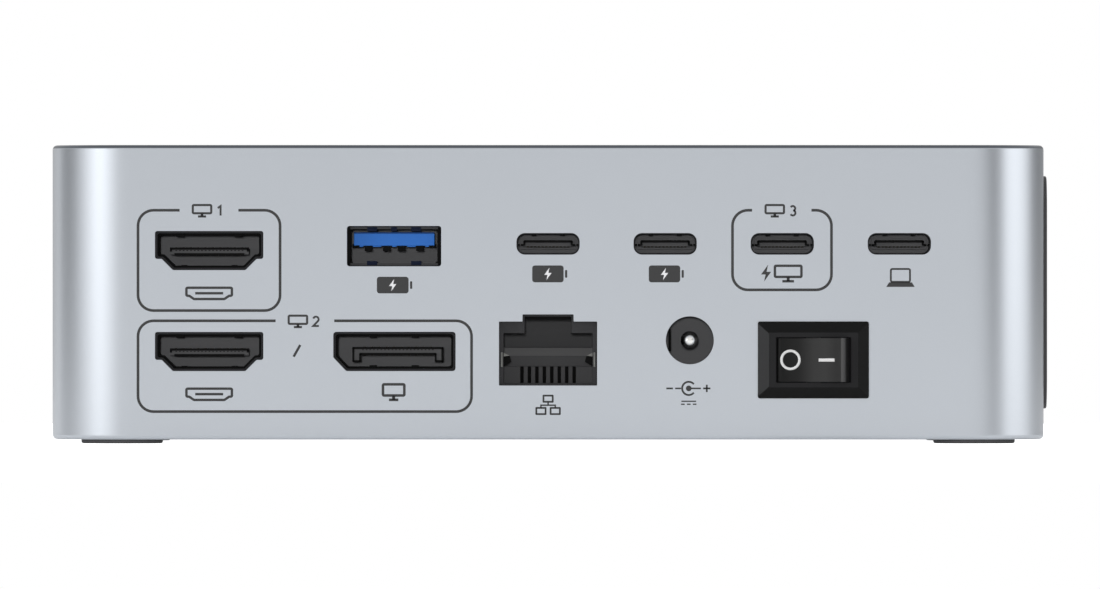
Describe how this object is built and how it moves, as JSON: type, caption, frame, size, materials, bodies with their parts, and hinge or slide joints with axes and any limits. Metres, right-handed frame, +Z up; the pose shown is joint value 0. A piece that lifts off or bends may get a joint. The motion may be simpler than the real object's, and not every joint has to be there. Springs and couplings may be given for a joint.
{
  "type": "laptop docking station",
  "caption": "Low rounded-corner aluminium box with a rear panel of sockets and a rocker switch, stacked circuit boards inside, rubber feet and a side pad.",
  "frame": {"origin": "on the resting surface, below the centre of the housing's plan", "axes": "+Z up; the rear socket panel faces -Y; +X is to the right when looking at that panel"},
  "size_m": [0.1356, 0.0886, 0.0406],
  "materials": {
    "housing_aluminium": "fine bead-blasted, clear anodised",
    "base_aluminium": "brushed, clear anodised",
    "screw_steel": "zinc plated",
    "foot_rubber": "grey, matt",
    "pad_rubber": "black, matt",
    "lens_acrylic": "clear, polished",
    "led_package": "phosphor",
    "circuit_board": "solder mask, satin",
    "brass": "machined",
    "black_moulding": "moulded",
    "chip_epoxy": "moulded epoxy",
    "thermal_silicone": "soft, matt",
    "spreader_aluminium": "extruded, plain",
    "ferrite": "sintered, matt",
    "capacitor_can": "drawn can",
    "socket_shell": "dark nickel plate",
    "socket_core": "moulded, satin",
    "data_core": "blue, moulded",
    "contact_gold": "gold flash",
    "pin_metal": "nickel plate, bright",
    "switch_plastic": "moulded, fine texture",
    "rocker_plastic": "moulded, semi-gloss",
    "lead_insulation": "flexible insulation",
    "white_moulding": "moulded"
  },
  "bodies": {
    "dock": {"audio_contacts": "contact_gold", "audio_socket_body": "socket_core", "base_plate": "base_aluminium", "base_screws": "screw_steel", "board_screws": "screw_steel", "board_standoffs": "brass", "capacitors": "capacitor_can", "data_contacts": "contact_gold", "data_socket_core": "data_core", "data_socket_shell": "socket_shell", "display_contacts": "contact_gold", "display_socket_core": "socket_core", "display_socket_shell": "socket_shell", "foot_front_left": "foot_rubber", "foot_front_right": "foot_rubber", "foot_rear_left": "foot_rubber", "foot_rear_right": "foot_rubber", "front_data_socket_core": "data_core", "front_data_socket_shell": "socket_shell", "front_oval_socket_core": "socket_core", "front_oval_socket_shell": "socket_shell", "heat_spreader": "spreader_aluminium", "housing": "housing_aluminium", "inductors": "ferrite", "link_header": "black_moulding", "link_socket": "black_moulding", "main_board": "circuit_board", "main_chips": "chip_epoxy", "network_contacts": "contact_gold", "network_socket_body": "socket_core", "network_socket_shield": "socket_shell", "network_transformer": "black_moulding", "oval_contacts": "contact_gold", "oval_socket_1_core": "socket_core", "oval_socket_1_shell": "socket_shell", "oval_socket_2_core": "socket_core", "oval_socket_2_shell": "socket_shell", "oval_socket_3_core": "socket_core", "oval_socket_3_shell": "socket_shell", "oval_socket_4_core": "socket_core", "oval_socket_4_shell": "socket_shell", "port_board": "circuit_board", "port_chips": "chip_epoxy", "power_inlet_body": "socket_core", "power_inlet_leaf": "pin_metal", "power_inlet_pin": "pin_metal", "side_pad": "pad_rubber", "side_status_lens": "lens_acrylic", "status_led": "led_package", "switch_frame": "switch_plastic", "switch_header": "white_moulding", "switch_leads": "lead_insulation", "switch_terminals": "pin_metal", "thermal_pads": "thermal_silicone", "video_contacts": "contact_gold", "video_socket_lower_core": "socket_core", "video_socket_lower_shell": "socket_shell", "video_socket_upper_core": "socket_core", "video_socket_upper_shell": "socket_shell"},
    "rocker": {"switch_rocker": "rocker_plastic"}
  },
  "joints": [
    {"name": "switch_rock", "type": "hinge", "parent": "dock", "child": "rocker", "pos_m": [0.03602, -0.04315, 0.01136], "axis": [0, 0, 1], "range_deg": [0, 22]}
  ]
}
